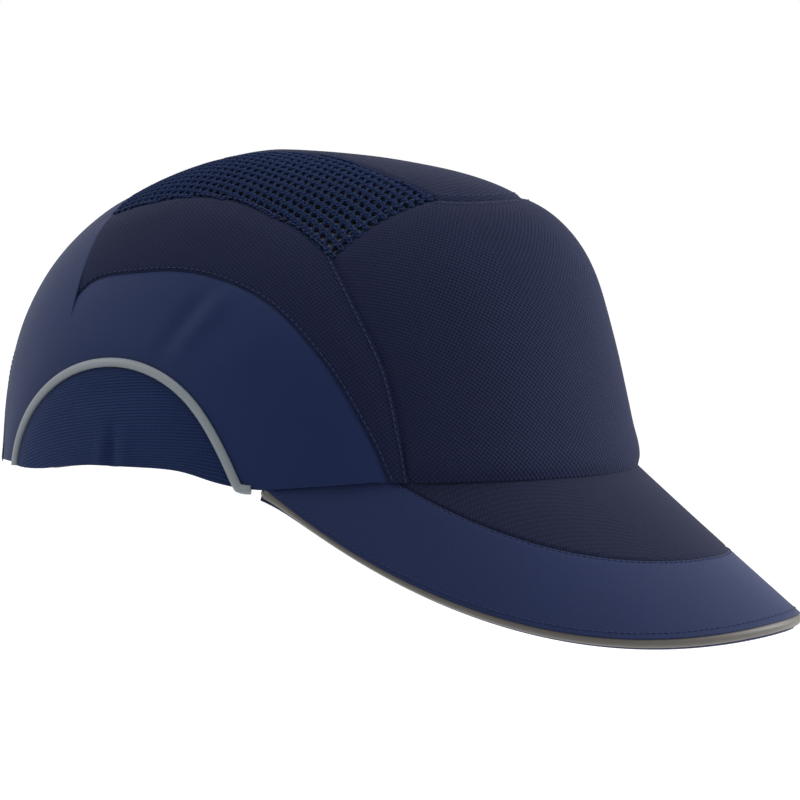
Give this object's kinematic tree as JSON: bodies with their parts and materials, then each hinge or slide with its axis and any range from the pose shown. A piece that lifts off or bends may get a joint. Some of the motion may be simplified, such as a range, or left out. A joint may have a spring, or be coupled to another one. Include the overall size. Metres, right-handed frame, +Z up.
{
  "type": "bump cap",
  "caption": "Baseball-style fabric cap with a long peak over a hard protective liner, with mesh vents and a hook-and-loop strap at the rear arch.",
  "frame": {"origin": "centre of the head opening where it is widest, in the plane of the rim", "axes": "+Z up through the crown, -Y forwards along the peak, +X towards the wearer's left"},
  "size_m": [0.171, 0.2698, 0.1464],
  "materials": {
    "canvas": "navy canvas, visible plain weave",
    "twill": "navy micro-twill, faint satin sheen",
    "knit": "navy ribbed stretch knit",
    "air_mesh": "navy open air mesh",
    "reflective_tape": "light grey piping",
    "board": "stiff peak board",
    "liner": "moulded liner",
    "foam": "closed-cell foam",
    "sweatband": "soft terry",
    "webbing": "navy webbing",
    "hook_tape": "hook tape",
    "ring": "moulded plastic ring"
  },
  "bodies": {
    "cap": {"front_panel": "canvas", "back_panel": "twill", "crown_strip": "canvas", "mesh_panel_left": "air_mesh", "mesh_panel_right": "air_mesh", "side_panel_left": "canvas", "side_panel_right": "canvas", "lower_panel_left": "twill", "lower_panel_right": "twill", "ear_panel_left": "knit", "ear_panel_right": "knit", "ear_piping_left": "reflective_tape", "ear_piping_right": "reflective_tape", "peak_inner_cover": "twill", "peak_outer_cover": "twill", "peak_under_cover": "twill", "peak_piping": "reflective_tape", "peak_board": "board", "sweatband": "sweatband", "hard_shell": "liner", "crown_pad": "foam", "front_pad": "foam", "rear_pad": "foam", "side_pad_left": "foam", "side_pad_right": "foam", "arch_binding": "webbing", "strap": "webbing", "ring_tab": "webbing"},
    "tail": {"strap_tail": "webbing", "hook_patch": "hook_tape"},
    "ring": {"ring": "ring"}
  },
  "joints": [
    {"name": "strap_adjust", "type": "hinge", "parent": "cap", "child": "tail", "pos_m": [0, 0.01476, 0.014], "axis": [0, 0, -1], "range_deg": [-17, 4]},
    {"name": "ring_pivot", "type": "hinge", "parent": "cap", "child": "ring", "pos_m": [0.0428, 0.0737, 0.014], "axis": [0, 0, 1], "range_deg": [-4, 20]}
  ]
}
